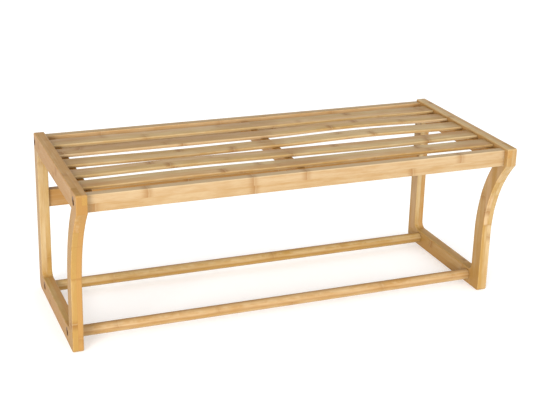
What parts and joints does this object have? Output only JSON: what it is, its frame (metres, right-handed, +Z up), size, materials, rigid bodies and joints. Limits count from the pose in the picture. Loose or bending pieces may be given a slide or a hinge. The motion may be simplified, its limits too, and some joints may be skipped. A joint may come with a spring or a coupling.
{
  "type": "slatted entryway bench",
  "caption": "Low bamboo entryway bench: open side frames with swept front legs, slatted seat, back rails and round floor rods.",
  "frame": {"origin": "on the floor under the middle of the bench, halfway between its front and its back", "axes": "+X along the bench's length, +Y towards the back, +Z up"},
  "size_m": [0.8, 0.349, 0.3035],
  "materials": {
    "frame_bamboo": "clear satin lacquer on laminated bamboo",
    "rail_bamboo": "clear satin lacquer on laminated bamboo",
    "slat_bamboo": "clear satin lacquer on laminated bamboo",
    "bearer_bamboo": "clear satin lacquer on laminated bamboo",
    "rod_bamboo": "clear satin lacquer on turned bamboo",
    "socket_screw_steel": "dark bronze plated steel",
    "wood_screw_steel": "zinc plated steel",
    "beech_dowel": "bare beech"
  },
  "bodies": {
    "root": {"left_front_leg": "frame_bamboo", "left_back_leg": "frame_bamboo", "left_bottom_rail": "frame_bamboo", "left_top_rail": "frame_bamboo", "right_front_leg": "frame_bamboo", "right_back_leg": "frame_bamboo", "right_bottom_rail": "frame_bamboo", "right_top_rail": "frame_bamboo", "front_rail": "rail_bamboo", "upper_back_rail": "rail_bamboo", "lower_back_rail": "rail_bamboo", "slat_1": "slat_bamboo", "slat_2": "slat_bamboo", "slat_3": "slat_bamboo", "slat_4": "slat_bamboo", "slat_5": "slat_bamboo", "centre_bearer": "bearer_bamboo", "left_end_bearer": "bearer_bamboo", "right_end_bearer": "bearer_bamboo", "front_rod": "rod_bamboo", "back_rod": "rod_bamboo", "rail_screws": "socket_screw_steel", "rod_screws": "socket_screw_steel", "slat_screws": "wood_screw_steel", "end_bearer_screws": "wood_screw_steel", "left_frame_dowels": "beech_dowel", "right_frame_dowels": "beech_dowel", "upper_rail_dowels": "beech_dowel", "lower_rail_dowels": "beech_dowel", "centre_bearer_dowels": "beech_dowel"}
  },
  "joints": []
}
